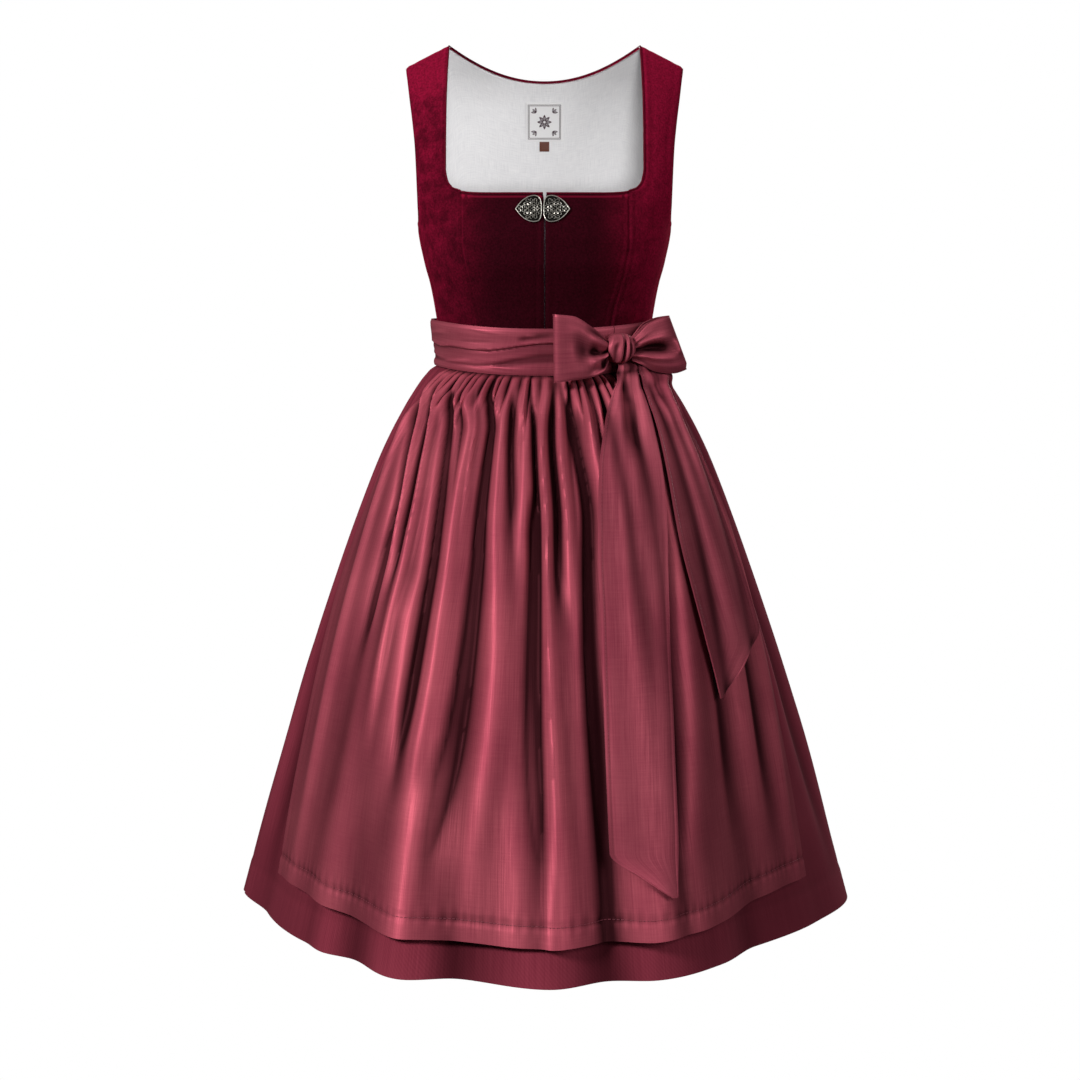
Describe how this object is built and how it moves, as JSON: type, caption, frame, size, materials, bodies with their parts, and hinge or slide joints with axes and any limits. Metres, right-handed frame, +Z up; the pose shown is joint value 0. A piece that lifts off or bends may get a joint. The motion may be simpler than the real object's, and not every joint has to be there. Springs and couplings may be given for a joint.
{
  "type": "worn dirndl dress with a tied apron",
  "caption": "Hollow sleeveless folk dress: square-necked velvet bodice with a clasp, gathered knee-length skirt, satin apron tied in a side bow",
  "frame": {"origin": "midway between the two shoulders, level with the inner ends of the straps' shoulder seams, where the wearer's shoulders carry the dress", "axes": "+Z up; +Y towards the wearer's back, so the front faces -Y; +X towards the wearer's left"},
  "size_m": [0.6848, 0.7299, 0.9461],
  "materials": {
    "velvet": "wine-red pile velvet",
    "skirt_cloth": "matt wine-red twill",
    "apron_satin": "satin with fine slubs",
    "lining": "plain pale lining cotton",
    "piping": "dark bias piping",
    "zip_tape": "woven tape with fine teeth",
    "label_tape": "woven damask tape",
    "tab_tape": "woven rust-brown tape",
    "antique_silver": "cast and darkened silver-coloured metal"
  },
  "bodies": {
    "root": {"bodice_front_centre_right": "velvet", "bodice_front_centre_left": "velvet", "bodice_side_front_right": "velvet", "bodice_side_front_left": "velvet", "bodice_back": "velvet", "back_lining": "lining", "neck_piping": "piping", "front_zip": "zip_tape", "clasp_right": "antique_silver", "clasp_left": "antique_silver", "label": "label_tape", "size_tab": "tab_tape", "skirt_back": "skirt_cloth", "skirt_front": "skirt_cloth", "apron": "apron_satin", "apron_band": "apron_satin", "sash_right": "apron_satin", "sash_left": "apron_satin", "bow_knot": "apron_satin", "bow_loop_right": "apron_satin", "bow_loop_left": "apron_satin", "tie_tail_right": "apron_satin", "tie_tail_left": "apron_satin"}
  },
  "joints": []
}
